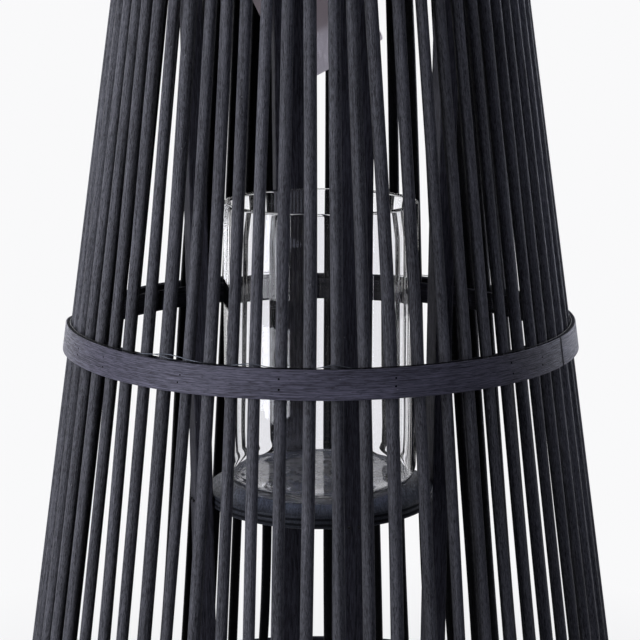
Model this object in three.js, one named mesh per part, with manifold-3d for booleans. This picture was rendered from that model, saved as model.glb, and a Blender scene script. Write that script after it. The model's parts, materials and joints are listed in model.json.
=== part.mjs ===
// Slatted bamboo candle lantern: a tapered cage of round sticks nailed between paired flat hoops.
// Four flat legs inside the cage carry a round shelf, and a glass cylinder stands on the shelf.
// A thin binding wire runs round the sticks, on the top edge of the outer middle hoop.
// Millimetres, +Z up, origin on the ground under the middle of the cage, front towards -Y.

import * as THREE from 'three';
import { mergeVertices } from 'three/addons/utils/BufferGeometryUtils.js';
import Module from 'manifold-3d';

// The cage is a straight cone, measured over the faces of the outer hoops
const HEIGHT = 700;
const BASE_DIAMETER = 400;
const TOP_DIAMETER = 200;
const FIT_GAP = 0.3; // between two pieces that touch

// Round sticks, spaced by eye when they were nailed, so their even spacing wanders in slow waves
const STICK_DIAMETER = 7.2;
const STICK_PAIRS = 32;
const STICK_SIDES = 12;
const FIRST_STICK_AZIMUTH = 3.64;
const SPACING_WAVES = [
  { waves: 5, swing: 0.72, phase: -53 },
  { waves: 3, swing: 0.27, phase: 68 },
];
const GLUE_DEPTH = 4; // glue bead that joins the two sticks of a pair under the top hoops
const GLUE_HEIGHT = 9;

// Flat hoops
const HOOP_WIDTH = 17;
const HOOP_THICKNESS = 2.9;
const HOOP_FACETS = 96;
const INNER_HOOP_WIDTH = 14;
const INNER_HOOP_DROP = 2.4; // its top edge stands lower than the outer hoop's
const MIDDLE_HOOP_LEVEL = 285.4; // lower edge of the outer middle hoop
const STICK_OVERHANG = 5; // stick ends past the top and bottom hoops
const SEAM_GAP = 0.8; // between the butted ends of a hoop

// Wire that holds the sticks in line round the middle
const WIRE_DIAMETER = 0.6;
const WIRE_SIDES = 6;

// Glass cylinder
const GLASS_DIAMETER = 120;
const GLASS_HEIGHT = 180;
const GLASS_WALL = 3.5;
const GLASS_BASE = 7;
const GLASS_FOOT_RADIUS = 16; // rounding of the outside at the foot
const GLASS_FLOOR_RADIUS = 5; // rounding of the inside at the floor
const GLASS_FACETS = 48;

// Shelf
const SHELF_LEDGE = 10.5; // shelf past the glass, all round
const SHELF_THICKNESS = 8;
const SHELF_LEVEL = 185.5; // underside
const SHELF_FACETS = 72;

// Legs: flat slats with their wide faces turned to the middle
const LEG_NAMES = ['front', 'right', 'back', 'left'];
const FIRST_LEG_AZIMUTH = 14;
const LEG_WIDTH = 21;
const LEG_THICKNESS = 10.5;

// Nails
const NAIL_DIAMETER = 1.4;
const NAIL_HEAD_DIAMETER = 2.8;
const NAIL_HEAD_THICKNESS = 0.7;
const NAIL_POINT = 1.5;
const NAIL_SIDES = 8;
const SHELF_NAIL_SPACING = 6;
const SHELF_NAIL_DEPTH = 12;
const HOOP_NAIL_DEPTH = 1.8;

// Card tag on a pin in the back leg
const TAG_WIDTH = 67;
const TAG_HEIGHT = 120;
const TAG_THICKNESS = 0.8;
const TAG_CORNER_RADIUS = 2;
const TAG_HOLE_INSET = 6;
const PIN_DIAMETER = 1.6;
const PIN_HEAD_DIAMETER = 4.4;
const PIN_DEPTH = 3.2;
const PIN_LEVEL = 565;
const PIN_OFFSET = -8; // from the middle of the leg

// Worked out from the sizes above
const STICK_COUNT = 2 * STICK_PAIRS;
const STICK_RADIUS = STICK_DIAMETER / 2;
const CONE_SLOPE = (TOP_DIAMETER - BASE_DIAMETER) / 2 / HEIGHT;
const STICK_AXIS_INSET = HOOP_THICKNESS + FIT_GAP + STICK_RADIUS;
const INNER_HOOP_INSET = STICK_AXIS_INSET + STICK_RADIUS + FIT_GAP;
const BOTTOM_HOOP_LEVEL = STICK_OVERHANG;
const TOP_HOOP_LEVEL = HEIGHT - STICK_OVERHANG - HOOP_WIDTH;
const INNER_HOOP_RISE = HOOP_WIDTH - INNER_HOOP_DROP - INNER_HOOP_WIDTH;
const SHELF_RADIUS = GLASS_DIAMETER / 2 + SHELF_LEDGE;
const SHELF_TOP = SHELF_LEVEL + SHELF_THICKNESS;
const SHELF_MIDDLE = SHELF_LEVEL + SHELF_THICKNESS / 2;
const LEG_TOP = TOP_HOOP_LEVEL + INNER_HOOP_RISE + INNER_HOOP_WIDTH;
const HOOP_NAIL_LEVEL = LEG_TOP - INNER_HOOP_WIDTH / 2;
const NAIL_HOLE_RADIUS = NAIL_DIAMETER / 2 + FIT_GAP;

const STAINED_STICK = { color: 0x3b3b3f, roughness: 0.75, metalness: 0 };
const STAINED_STRIP = { color: 0x45444b, roughness: 0.7, metalness: 0 };
const STAINED_PLYWOOD = { color: 0x3a3a40, roughness: 0.8, metalness: 0 };
const DARK_STEEL = { color: 0x2a2a2c, roughness: 0.5, metalness: 1 };
const GREY_WIRE = { color: 0x85868c, roughness: 0.45, metalness: 1 };
const CLEAR_GLASS = { color: 0xeef4f1, roughness: 0.03, metalness: 0, transparent: true, opacity: 0.35 };
const GREY_CARD = { color: 0x8c868e, roughness: 0.9, metalness: 0 };

const radians = THREE.MathUtils.degToRad;

const wasm = await Module();
wasm.setup();

// ---- Solids -------------------------------------------------------------------------------------

function toManifold(geometry) {
  const bare = geometry.clone();
  bare.deleteAttribute('normal');
  bare.deleteAttribute('uv');
  const merged = mergeVertices(bare);
  return new wasm.Manifold(new wasm.Mesh({
    numProp: 3,
    vertProperties: merged.attributes.position.array,
    triVerts: new Uint32Array(merged.index.array),
  }));
}

function toGeometry(manifold) {
  const mesh = manifold.getMesh();
  const geometry = new THREE.BufferGeometry();
  geometry.setAttribute('position', new THREE.BufferAttribute(mesh.vertProperties, 3));
  geometry.setIndex(new THREE.BufferAttribute(mesh.triVerts, 1));
  geometry.computeVertexNormals();
  return geometry;
}

function joined(geometries) {
  const [first, ...rest] = geometries.map(toManifold);
  return toGeometry(rest.reduce((body, other) => body.add(other), first));
}

function cut(geometry, cutters) {
  return toGeometry(cutters.map(toManifold).reduce((body, other) => body.subtract(other), toManifold(geometry)));
}

// A closed profile of [radius, height] points turned about the vertical axis
function turned(profile, facets) {
  const points = profile.map(([radius, height]) => new THREE.Vector2(radius, height));
  return new THREE.LatheGeometry(points, facets).rotateX(Math.PI / 2);
}

// Moves an upright piece out to a radius in front of the axis and leans it, with its ends still level
function leaned(geometry, radiusAtGround, slope) {
  const lean = new THREE.Matrix4().set(
    1, 0, 0, 0,
    0, 1, -slope, -radiusAtGround,
    0, 0, 1, 0,
    0, 0, 0, 1,
  );
  return geometry.applyMatrix4(lean);
}

// A hole along the radial direction, from the front of the axis
function radialHole(radius, length, offset, distance, level) {
  return new THREE.CylinderGeometry(radius, radius, length, NAIL_SIDES).translate(offset, -distance, level);
}

// Points of an arc from one angle to another, ends included, as [radius, height]
function arc(centreRadius, centreHeight, radius, fromDegrees, toDegrees, steps) {
  return Array.from({ length: steps + 1 }, (_, i) => {
    const angle = radians(fromDegrees + (toDegrees - fromDegrees) * i / steps);
    return [centreRadius + radius * Math.cos(angle), centreHeight + radius * Math.sin(angle)];
  });
}

// ---- Scene graph --------------------------------------------------------------------------------

const lantern = new THREE.Group();

function add(name, geometry, finish, parent = lantern) {
  const mesh = new THREE.Mesh(geometry, new THREE.MeshStandardMaterial(finish));
  mesh.name = name;
  parent.add(mesh);
  return mesh;
}

// ---- Cage ---------------------------------------------------------------------------------------

function coneRadius(level) {
  return BASE_DIAMETER / 2 + CONE_SLOPE * level;
}

// Azimuths are in radians from the front, anticlockwise from above
function stickAzimuth(index) {
  const even = index / STICK_COUNT * 2 * Math.PI;
  const wander = SPACING_WAVES.map((w) => radians(w.swing) * Math.sin(w.waves * even + radians(w.phase)));
  return wander.reduce((sum, angle) => sum + angle, radians(FIRST_STICK_AZIMUTH) + even);
}

function stick(azimuth) {
  const upright = new THREE.CylinderGeometry(STICK_RADIUS, STICK_RADIUS, HEIGHT, STICK_SIDES)
    .rotateX(Math.PI / 2)
    .translate(0, 0, HEIGHT / 2);
  return leaned(upright, coneRadius(0) - STICK_AXIS_INSET, CONE_SLOPE).rotateZ(azimuth);
}

function glueBead(fromAzimuth, toAzimuth) {
  const level = TOP_HOOP_LEVEL + HOOP_WIDTH / 2;
  const axisRadius = coneRadius(level) - STICK_AXIS_INSET;
  const half = (toAzimuth - fromAzimuth) / 2;
  return new THREE.BoxGeometry(2 * axisRadius * Math.sin(half), GLUE_DEPTH, GLUE_HEIGHT)
    .translate(0, -axisRadius * Math.cos(half), level)
    .rotateZ(fromAzimuth + half);
}

function addSticks() {
  for (let pair = 0; pair < STICK_PAIRS; pair += 1) {
    const first = stickAzimuth(2 * pair);
    const second = stickAzimuth(2 * pair + 1);
    const body = joined([stick(first), stick(second), glueBead(first, second)]);
    add(`stick_pair_${String(pair + 1).padStart(2, '0')}`, body, STAINED_STICK);
  }
}

function hoop(level, width, inset, seamAzimuth) {
  const corner = (radialDepth, height) => [coneRadius(height) - inset - radialDepth, height];
  const profile = [
    corner(HOOP_THICKNESS, level),
    corner(0, level),
    corner(0, level + width),
    corner(HOOP_THICKNESS, level + width),
    corner(HOOP_THICKNESS, level),
  ];
  const seam = new THREE.BoxGeometry(SEAM_GAP, 6 * HOOP_THICKNESS, 2 * width)
    .translate(0, -coneRadius(level) + inset + HOOP_THICKNESS, level + width / 2)
    .rotateZ(radians(seamAzimuth));
  return cut(turned(profile, HOOP_FACETS), [seam]);
}

function addHoops() {
  const places = [
    { place: 'bottom', level: BOTTOM_HOOP_LEVEL, outerSeam: 151, innerSeam: 243 },
    { place: 'middle', level: MIDDLE_HOOP_LEVEL, outerSeam: 63.5, innerSeam: 228 },
  ];
  for (const { place, level, outerSeam, innerSeam } of places) {
    add(`outer_hoop_${place}`, hoop(level, HOOP_WIDTH, 0, outerSeam), STAINED_STRIP);
    const innerLevel = level + INNER_HOOP_RISE;
    add(`inner_hoop_${place}`, hoop(innerLevel, INNER_HOOP_WIDTH, INNER_HOOP_INSET, innerSeam), STAINED_STRIP);
  }
  add('outer_hoop_top', hoop(TOP_HOOP_LEVEL, HOOP_WIDTH, 0, 205), STAINED_STRIP);
  const innerTop = hoop(TOP_HOOP_LEVEL + INNER_HOOP_RISE, INNER_HOOP_WIDTH, INNER_HOOP_INSET, 142);
  add('inner_hoop_top', cut(innerTop, LEG_NAMES.map((_, i) => hoopNailHole().rotateZ(legAzimuth(i)))), STAINED_STRIP);
}

// The wire lies on the outer hoop's top edge, against the outer faces of the sticks
function addBindingWire() {
  const radius = WIRE_DIAMETER / 2;
  const level = MIDDLE_HOOP_LEVEL + HOOP_WIDTH + FIT_GAP + radius;
  const section = arc(coneRadius(level) - HOOP_THICKNESS + radius, level, radius, 0, 360, WIRE_SIDES);
  add('binding_wire', turned(section, HOOP_FACETS), GREY_WIRE);
}

// ---- Legs and their nails -------------------------------------------------------------------------

function legAzimuth(index) {
  return radians(FIRST_LEG_AZIMUTH) + index / LEG_NAMES.length * 2 * Math.PI;
}

// Each leg passes the shelf's edge and leans out until its corners meet the inner top hoop
const LEG_AT_SHELF = SHELF_RADIUS + FIT_GAP;
const HOOP_INSIDE = coneRadius(LEG_TOP) - INNER_HOOP_INSET - HOOP_THICKNESS;
const LEG_AT_HOOP = Math.sqrt((HOOP_INSIDE - FIT_GAP) ** 2 - (LEG_WIDTH / 2) ** 2) - LEG_THICKNESS;
const LEG_SLOPE = (LEG_AT_HOOP - LEG_AT_SHELF) / (LEG_TOP - SHELF_LEVEL);

function legInside(level) {
  return LEG_AT_SHELF + LEG_SLOPE * (level - SHELF_LEVEL);
}

function nail(diameter, headDiameter, shankLength) {
  const tip = NAIL_HEAD_THICKNESS + shankLength;
  const profile = [
    [0, 0],
    [headDiameter / 2, 0],
    [headDiameter / 2, NAIL_HEAD_THICKNESS],
    [diameter / 2, NAIL_HEAD_THICKNESS],
    [diameter / 2, tip - NAIL_POINT],
    [0, tip],
  ];
  return turned(profile, NAIL_SIDES);
}

// Distance from the axis to the blind end of a nail hole in the inner top hoop
function hoopNailReach() {
  return coneRadius(HOOP_NAIL_LEVEL) - INNER_HOOP_INSET - HOOP_THICKNESS + HOOP_NAIL_DEPTH;
}

function hoopNailHole() {
  const start = legInside(HOOP_NAIL_LEVEL);
  const length = hoopNailReach() + FIT_GAP - start;
  return radialHole(NAIL_HOLE_RADIUS, length, 0, start + length / 2, HOOP_NAIL_LEVEL);
}

function leg(holes) {
  const upright = new THREE.BoxGeometry(LEG_WIDTH, LEG_THICKNESS, LEG_TOP)
    .translate(0, -LEG_THICKNESS / 2, LEG_TOP / 2);
  return cut(leaned(upright, legInside(0), LEG_SLOPE), holes);
}

function shelfNailHoles() {
  const inner = SHELF_RADIUS - SHELF_NAIL_DEPTH - FIT_GAP;
  const outer = legInside(SHELF_MIDDLE) + LEG_THICKNESS + 1;
  return [-1, 1].map((side) => radialHole(
    NAIL_HOLE_RADIUS, outer - inner, side * SHELF_NAIL_SPACING / 2, (outer + inner) / 2, SHELF_MIDDLE,
  ));
}

function throughHoopNailHole() {
  const middle = legInside(HOOP_NAIL_LEVEL) + LEG_THICKNESS / 2;
  return radialHole(NAIL_HOLE_RADIUS, 2 * LEG_THICKNESS, 0, middle, HOOP_NAIL_LEVEL);
}

function addLegs() {
  LEG_NAMES.forEach((name, i) => {
    const side = new THREE.Group();
    side.rotation.z = legAzimuth(i);
    lantern.add(side);
    const holes = [...shelfNailHoles(), throughHoopNailHole()];
    if (name === 'back') holes.push(pinHole());
    add(`leg_${name}`, leg(holes), STAINED_STRIP, side);
    addShelfNails(name, side);
    addHoopNail(name, side);
    if (name === 'back') addTag(side);
  });
}

// Driven from outside, through the leg into the shelf's edge
function addShelfNails(name, side) {
  const seat = legInside(SHELF_MIDDLE) + LEG_THICKNESS + FIT_GAP;
  const shank = seat - SHELF_RADIUS + SHELF_NAIL_DEPTH;
  [-1, 1].forEach((hand, i) => {
    const mesh = add(`shelf_nail_${name}_${i + 1}`, nail(NAIL_DIAMETER, NAIL_HEAD_DIAMETER, shank), DARK_STEEL, side);
    mesh.position.set(hand * SHELF_NAIL_SPACING / 2, -seat - NAIL_HEAD_THICKNESS, SHELF_MIDDLE);
    mesh.rotation.x = -Math.PI / 2;
  });
}

// Driven from inside, through the leg into the inner top hoop
function addHoopNail(name, side) {
  const seat = legInside(HOOP_NAIL_LEVEL) - FIT_GAP;
  const shank = hoopNailReach() - seat;
  const mesh = add(`hoop_nail_${name}`, nail(NAIL_DIAMETER, NAIL_HEAD_DIAMETER, shank), DARK_STEEL, side);
  mesh.position.set(0, -seat + NAIL_HEAD_THICKNESS, HOOP_NAIL_LEVEL);
  mesh.rotation.x = Math.PI / 2;
}

// ---- Shelf and glass ------------------------------------------------------------------------------

function addShelf() {
  const board = new THREE.CylinderGeometry(SHELF_RADIUS, SHELF_RADIUS, SHELF_THICKNESS, SHELF_FACETS)
    .rotateX(Math.PI / 2)
    .translate(0, 0, SHELF_MIDDLE);
  const holes = LEG_NAMES.flatMap((_, i) => shelfNailHoles().map((hole) => hole.rotateZ(legAzimuth(i))));
  add('shelf', cut(board, holes), STAINED_PLYWOOD);
}

function addGlass() {
  const outside = GLASS_DIAMETER / 2;
  const inside = outside - GLASS_WALL;
  const rim = GLASS_WALL / 2;
  const profile = [
    [0, 0],
    ...arc(outside - GLASS_FOOT_RADIUS, GLASS_FOOT_RADIUS, GLASS_FOOT_RADIUS, -90, 0, 6),
    ...arc(inside + rim, GLASS_HEIGHT - rim, rim, 0, 180, 4),
    ...arc(inside - GLASS_FLOOR_RADIUS, GLASS_BASE + GLASS_FLOOR_RADIUS, GLASS_FLOOR_RADIUS, 0, -90, 4),
    [0, GLASS_BASE],
  ];
  const glass = add('glass_cylinder', turned(profile, GLASS_FACETS), CLEAR_GLASS);
  glass.position.z = SHELF_TOP + FIT_GAP;
}

// ---- Tag ------------------------------------------------------------------------------------------

function pinHole() {
  const face = legInside(PIN_LEVEL) + LEG_THICKNESS;
  const depth = PIN_DEPTH + FIT_GAP;
  return radialHole(PIN_DIAMETER / 2 + FIT_GAP, depth + 1, PIN_OFFSET, face - depth / 2 + 0.5, PIN_LEVEL);
}

// A card with rounded corners and a hole near its top corner, which is at the origin
function card() {
  const left = -TAG_HOLE_INSET;
  const right = TAG_WIDTH - TAG_HOLE_INSET;
  const top = TAG_HOLE_INSET;
  const bottom = TAG_HOLE_INSET - TAG_HEIGHT;
  const r = TAG_CORNER_RADIUS;
  const outline = new THREE.Shape();
  outline.absarc(right - r, top - r, r, 0, Math.PI / 2);
  outline.absarc(left + r, top - r, r, Math.PI / 2, Math.PI);
  outline.absarc(left + r, bottom + r, r, Math.PI, 1.5 * Math.PI);
  outline.absarc(right - r, bottom + r, r, 1.5 * Math.PI, 2 * Math.PI);
  const hole = new THREE.Path();
  hole.absarc(0, 0, PIN_DIAMETER / 2 + FIT_GAP, 0, 2 * Math.PI, true);
  outline.holes.push(hole);
  return new THREE.ExtrudeGeometry(outline, { depth: TAG_THICKNESS, bevelEnabled: false, curveSegments: 4 });
}

// Distance from the axis to the card, which hangs plumb and clears the leg from its pin to its lowest corner
function tagReach() {
  const lowest = PIN_LEVEL - Math.hypot(TAG_WIDTH, TAG_HEIGHT);
  return Math.max(legInside(PIN_LEVEL), legInside(lowest)) + LEG_THICKNESS + FIT_GAP;
}

// The card hangs with its middle straight below the pin, outside the leg
function addTag(side) {
  const hang = Math.atan2(TAG_WIDTH / 2 - TAG_HOLE_INSET, TAG_HEIGHT / 2 - TAG_HOLE_INSET);
  const face = legInside(PIN_LEVEL) + LEG_THICKNESS;
  const tag = add('swing_tag', card().rotateZ(-hang).rotateX(Math.PI / 2), GREY_CARD, side);
  tag.position.set(PIN_OFFSET, -tagReach(), PIN_LEVEL);
  const seat = tagReach() + TAG_THICKNESS + FIT_GAP;
  const pin = add('tag_pin', nail(PIN_DIAMETER, PIN_HEAD_DIAMETER, seat - face + PIN_DEPTH), DARK_STEEL, side);
  pin.position.set(PIN_OFFSET, -seat - NAIL_HEAD_THICKNESS, PIN_LEVEL);
  pin.rotation.x = -Math.PI / 2;
}

addSticks();
addHoops();
addBindingWire();
addLegs();
addShelf();
addGlass();

export default lantern;
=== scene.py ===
"""Slatted bamboo candle lantern: round stained sticks nailed between flat bamboo hoops, with four flat
legs and a round plywood shelf inside, a clear glass cylinder on the shelf and a plain card tag.
Metres, +Z up, front towards -Y. Azimuths run from the front round towards +X."""

import json
import math

import bpy
import numpy as np
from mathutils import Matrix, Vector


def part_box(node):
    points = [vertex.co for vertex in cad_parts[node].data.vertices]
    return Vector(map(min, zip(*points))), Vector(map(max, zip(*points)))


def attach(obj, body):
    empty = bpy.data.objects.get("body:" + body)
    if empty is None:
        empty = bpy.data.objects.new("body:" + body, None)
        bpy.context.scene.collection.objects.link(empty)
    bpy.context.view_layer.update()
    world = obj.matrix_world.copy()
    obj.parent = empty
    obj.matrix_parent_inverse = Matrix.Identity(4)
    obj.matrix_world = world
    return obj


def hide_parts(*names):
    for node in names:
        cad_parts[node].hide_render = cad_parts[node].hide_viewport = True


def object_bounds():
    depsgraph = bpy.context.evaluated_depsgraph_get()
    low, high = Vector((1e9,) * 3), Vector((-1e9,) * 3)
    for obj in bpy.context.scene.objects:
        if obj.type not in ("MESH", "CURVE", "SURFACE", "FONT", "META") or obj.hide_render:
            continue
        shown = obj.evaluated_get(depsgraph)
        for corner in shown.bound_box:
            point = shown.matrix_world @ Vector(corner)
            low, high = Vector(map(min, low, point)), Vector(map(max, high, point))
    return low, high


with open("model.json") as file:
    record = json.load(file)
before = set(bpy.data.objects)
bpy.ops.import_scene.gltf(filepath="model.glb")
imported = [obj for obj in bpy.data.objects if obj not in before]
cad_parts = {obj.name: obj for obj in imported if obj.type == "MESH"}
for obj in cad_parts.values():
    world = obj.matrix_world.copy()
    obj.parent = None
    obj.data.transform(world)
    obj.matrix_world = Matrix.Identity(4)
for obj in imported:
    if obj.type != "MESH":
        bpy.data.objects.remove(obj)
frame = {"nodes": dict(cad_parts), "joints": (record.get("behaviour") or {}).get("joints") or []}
cad_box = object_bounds()

MM = 0.001
UP = np.array([0.0, 0.0, 1.0])
TURN = 2 * math.pi
SIDES = ("front", "right", "back", "left")
rng = np.random.default_rng(seed=11)


# ---- Camera ---------------------------------------------------------------------------------------

CAMERA_DISTANCE = 1.2411  # from the lantern's middle
CAMERA_HEIGHT = 0.5433
CAMERA_PITCH = 11.13  # degrees below the horizon
CAMERA_LENS = 114.7
CAMERA_SHIFT = -0.0011


def add_camera():
    data = bpy.data.cameras.new("camera")
    data.lens = CAMERA_LENS
    data.shift_x = CAMERA_SHIFT
    camera = bpy.data.objects.new("camera", data)
    camera.location = (0, -CAMERA_DISTANCE, CAMERA_HEIGHT)
    camera.rotation_euler = (math.radians(90 - CAMERA_PITCH), 0, 0)
    bpy.context.scene.collection.objects.link(camera)
    bpy.context.scene.camera = camera


# ---- Shader nodes ---------------------------------------------------------------------------------

def linear(colour):
    """An sRGB hex colour as the linear values that shader sockets take."""
    parts = [int(colour[i:i + 2], 16) / 255 for i in (1, 3, 5)]
    return [p / 12.92 if p <= 0.04045 else ((p + 0.055) / 1.055) ** 2.4 for p in parts] + [1.0]


def add_node(tree, kind, sockets=None, **settings):
    """Adds a node with its own settings. Each socket, by name or number, gets a value or the output
    that it reads."""
    node = tree.nodes.new(kind)
    for key, value in settings.items():
        setattr(node, key, value)
    for key, value in (sockets or {}).items():
        if isinstance(value, bpy.types.NodeSocket):
            tree.links.new(value, node.inputs[key])
        else:
            node.inputs[key].default_value = value
    return node


def new_material(name):
    material = bpy.data.materials.new(name)
    material.use_nodes = True
    material.node_tree.nodes.clear()
    return material, material.node_tree


def finish_surface(tree, shader):
    add_node(tree, "ShaderNodeOutputMaterial", {"Surface": shader.outputs[0]})


def finish_principled(tree, sockets):
    finish_surface(tree, add_node(tree, "ShaderNodeBsdfPrincipled", sockets))


def attribute(tree, name, output="Fac"):
    """What one of the piece's point attributes says."""
    return add_node(tree, "ShaderNodeAttribute", attribute_name=name).outputs[output]


def own_place(tree):
    """The piece's own coordinates, in metres."""
    return add_node(tree, "ShaderNodeTexCoord").outputs["Object"]


def bumped(tree, height, strength, depth):
    """The normal of a surface on which a height of 1 stands for a depth in millimetres."""
    sockets = {"Strength": strength, "Distance": depth * MM, "Height": height}
    return add_node(tree, "ShaderNodeBump", sockets).outputs[0]


def stretched(tree, coordinates, size):
    """Coordinates scaled so that one unit of a pattern is the given size in millimetres along each axis."""
    scale = [1 / (length * MM) for length in size]
    return add_node(tree, "ShaderNodeMapping", {"Vector": coordinates, "Scale": scale}).outputs[0]


def noise(tree, coordinates, size, detail=2.0, roughness=0.5, distortion=0.0):
    """Noise whose blots have the given size in millimetres, as a value about 0.5."""
    sockets = {"Vector": stretched(tree, coordinates, size), "Scale": 1.0, "Detail": detail,
               "Roughness": roughness, "Distortion": distortion}
    return add_node(tree, "ShaderNodeTexNoise", sockets).outputs[0]


def ranged(tree, value, low, high, start=0.0, end=1.0):
    """The value carried from low..high to start..end, and held there."""
    sockets = {"Value": value, "From Min": low, "From Max": high, "To Min": start, "To Max": end}
    return add_node(tree, "ShaderNodeMapRange", sockets, clamp=True).outputs[0]


def calculated(tree, operation, first, second):
    return add_node(tree, "ShaderNodeMath", {0: first, 1: second}, operation=operation).outputs[0]


def blended(tree, share, first, second):
    sockets = {"Fac": share, "Color1": first, "Color2": second}
    return add_node(tree, "ShaderNodeMixRGB", sockets).outputs[0]


SPOT_CORE = 0.6  # share of a spot's radius that lies inside its soft edge


def spots(tree, coordinates, spacing, radius):
    """1 inside sparse round spots, 0 outside: the cells of a Voronoi pattern near their seeds."""
    vector = stretched(tree, coordinates, spacing)
    cell = add_node(tree, "ShaderNodeTexVoronoi", {"Vector": vector, "Scale": 1.0})
    return ranged(tree, cell.outputs["Distance"], radius, SPOT_CORE * radius)


# ---- Materials ------------------------------------------------------------------------------------

DUST = "#8f8e90"
PORE = "#121214"
SPECK_SHARE = 0.6  # how much of the dust's and the pores' own colour shows
GLASS_IOR = 1.52


def stained_wood(name, dark, light, fibre, dash, length, specular, dullness, relief):
    """Split bamboo or wood under a thin matt black stain: fibres run along the piece and show as fine paler
    lines broken into short dashes, the stain takes unevenly in long streaks, and dust and pores leave small
    specks. The pattern follows the piece's own grain attribute: across, across and along; its tone attribute
    makes places lighter, or darker and more matt. That tone carries real differences in stain, and also the
    painted shade, painted highlights and painted reflections that the pieces set in it. The fibres' width,
    the lengths of dashes and lines, and the relief are in mm."""
    material, tree = new_material(name)
    grain = attribute(tree, "grain", "Vector")
    tone = attribute(tree, "tone")
    dashes = noise(tree, grain, (fibre, fibre, dash), detail=3.0, roughness=0.7, distortion=0.4)
    fibres = noise(tree, grain, (1.5 * fibre, 1.5 * fibre, length), detail=3.0, roughness=0.6,
                   distortion=0.25)
    streaks = noise(tree, grain, (5 * fibre, 5 * fibre, 3 * length))
    patches = noise(tree, grain, (14, 14, 70))
    # Each noise between the values that set its contrast, times its share of the pattern
    broken = calculated(tree, "MULTIPLY", ranged(tree, dashes, 0.42, 0.6), 0.5)
    lines = calculated(tree, "MULTIPLY", ranged(tree, fibres, 0.38, 0.64), 0.3)
    long = calculated(tree, "MULTIPLY", ranged(tree, streaks, 0.34, 0.66), 0.2)
    mixed = calculated(tree, "ADD", calculated(tree, "ADD", broken, lines), long)
    stain = blended(tree, mixed, linear(dark), linear(light))
    uneven = ranged(tree, patches, 0.35, 0.7, 0.86, 1.12)
    strength = calculated(tree, "MULTIPLY", uneven, tone)
    toned = add_node(tree, "ShaderNodeVectorMath", {0: stain, "Scale": strength}, operation="SCALE")
    dust = calculated(tree, "MULTIPLY", spots(tree, grain, (7, 7, 16), 0.035), SPECK_SHARE)
    dusted = blended(tree, dust, toned.outputs[0], linear(DUST))
    pores = spots(tree, grain, (1.6, 1.6, 7.0), 0.16)
    colour = blended(tree, calculated(tree, "MULTIPLY", pores, SPECK_SHARE), dusted, linear(PORE))
    polish = ranged(tree, mixed, 0.2, 0.8, 0.9 - dullness, 1.06 - dullness)
    gloss = calculated(tree, "MULTIPLY", polish, ranged(tree, tone, 0.2, 0.8))
    height = calculated(tree, "SUBTRACT", mixed, pores)
    finish_principled(tree, {
        "Base Color": colour, "Roughness": calculated(tree, "SUBTRACT", 1.0, gloss),
        "Specular IOR Level": specular, "Normal": bumped(tree, height, 0.8, relief),
    })
    return material


def clear_glass():
    """Pressed soda-lime glass: clear, with slow ripples from the mould, finger marks that break its gloss,
    and a milky mottle where its frost attribute says that the foot is scuffed from standing."""
    material, tree = new_material("clear_pressed_glass")
    place = own_place(tree)
    ripple = noise(tree, place, (22, 22, 60), detail=1.0)
    smears = noise(tree, place, (30, 30, 30), detail=5.0, roughness=0.7)
    scuffs = noise(tree, place, (7, 7, 7), detail=4.0, roughness=0.65)
    marks = ranged(tree, smears, 0.62, 0.85, 0.0, 0.03)
    mottle = ranged(tree, scuffs, 0.35, 0.65, 0.1, 0.5)
    milky = calculated(tree, "MULTIPLY", attribute(tree, "frost"), mottle)
    finish_principled(tree, {
        "Base Color": linear("#fdfdff"), "Roughness": calculated(tree, "ADD", marks, milky),
        "IOR": GLASS_IOR, "Transmission Weight": calculated(tree, "SUBTRACT", 1.0, milky),
        "Normal": bumped(tree, ripple, 0.05, 0.1),
    })
    return material


def dull_steel(name, colour, roughness):
    """Plain drawn steel of a nail: grey metal dulled by oxide in small patches, with fine marks from the
    die and the hammer."""
    material, tree = new_material(name)
    place = own_place(tree)
    oxide = noise(tree, place, (0.9, 0.9, 0.9), detail=4.0, roughness=0.65)
    marks = noise(tree, place, (0.25, 0.25, 0.25))
    shade = blended(tree, ranged(tree, oxide, 0.4, 0.65, 0.0, 0.8), linear(colour), linear("#171617"))
    finish_principled(tree, {
        "Base Color": shade, "Metallic": 1.0,
        "Roughness": ranged(tree, oxide, 0.3, 0.7, roughness, roughness + 0.3),
        "Normal": bumped(tree, marks, 0.4, 0.03),
    })
    return material


def stained_wire():
    """Thin tying wire that took the black stain with the hoop it lies on, and is bare grey steel where it
    springs free: its bare attribute says where."""
    material, tree = new_material("part_stained_tying_wire")
    wear = noise(tree, own_place(tree), (1.5, 1.5, 1.5), detail=3.0)
    worn = calculated(tree, "MULTIPLY", wear, 0.5)
    rubbed = ranged(tree, calculated(tree, "ADD", attribute(tree, "bare"), worn), 0.35, 0.75)
    finish_principled(tree, {
        "Base Color": blended(tree, rubbed, linear("#17171a"), linear("#62666e")), "Metallic": 1.0,
        "Roughness": ranged(tree, wear, 0.3, 0.7, 0.4, 0.6), "Normal": bumped(tree, wear, 0.4, 0.03),
    })
    return material


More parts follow.
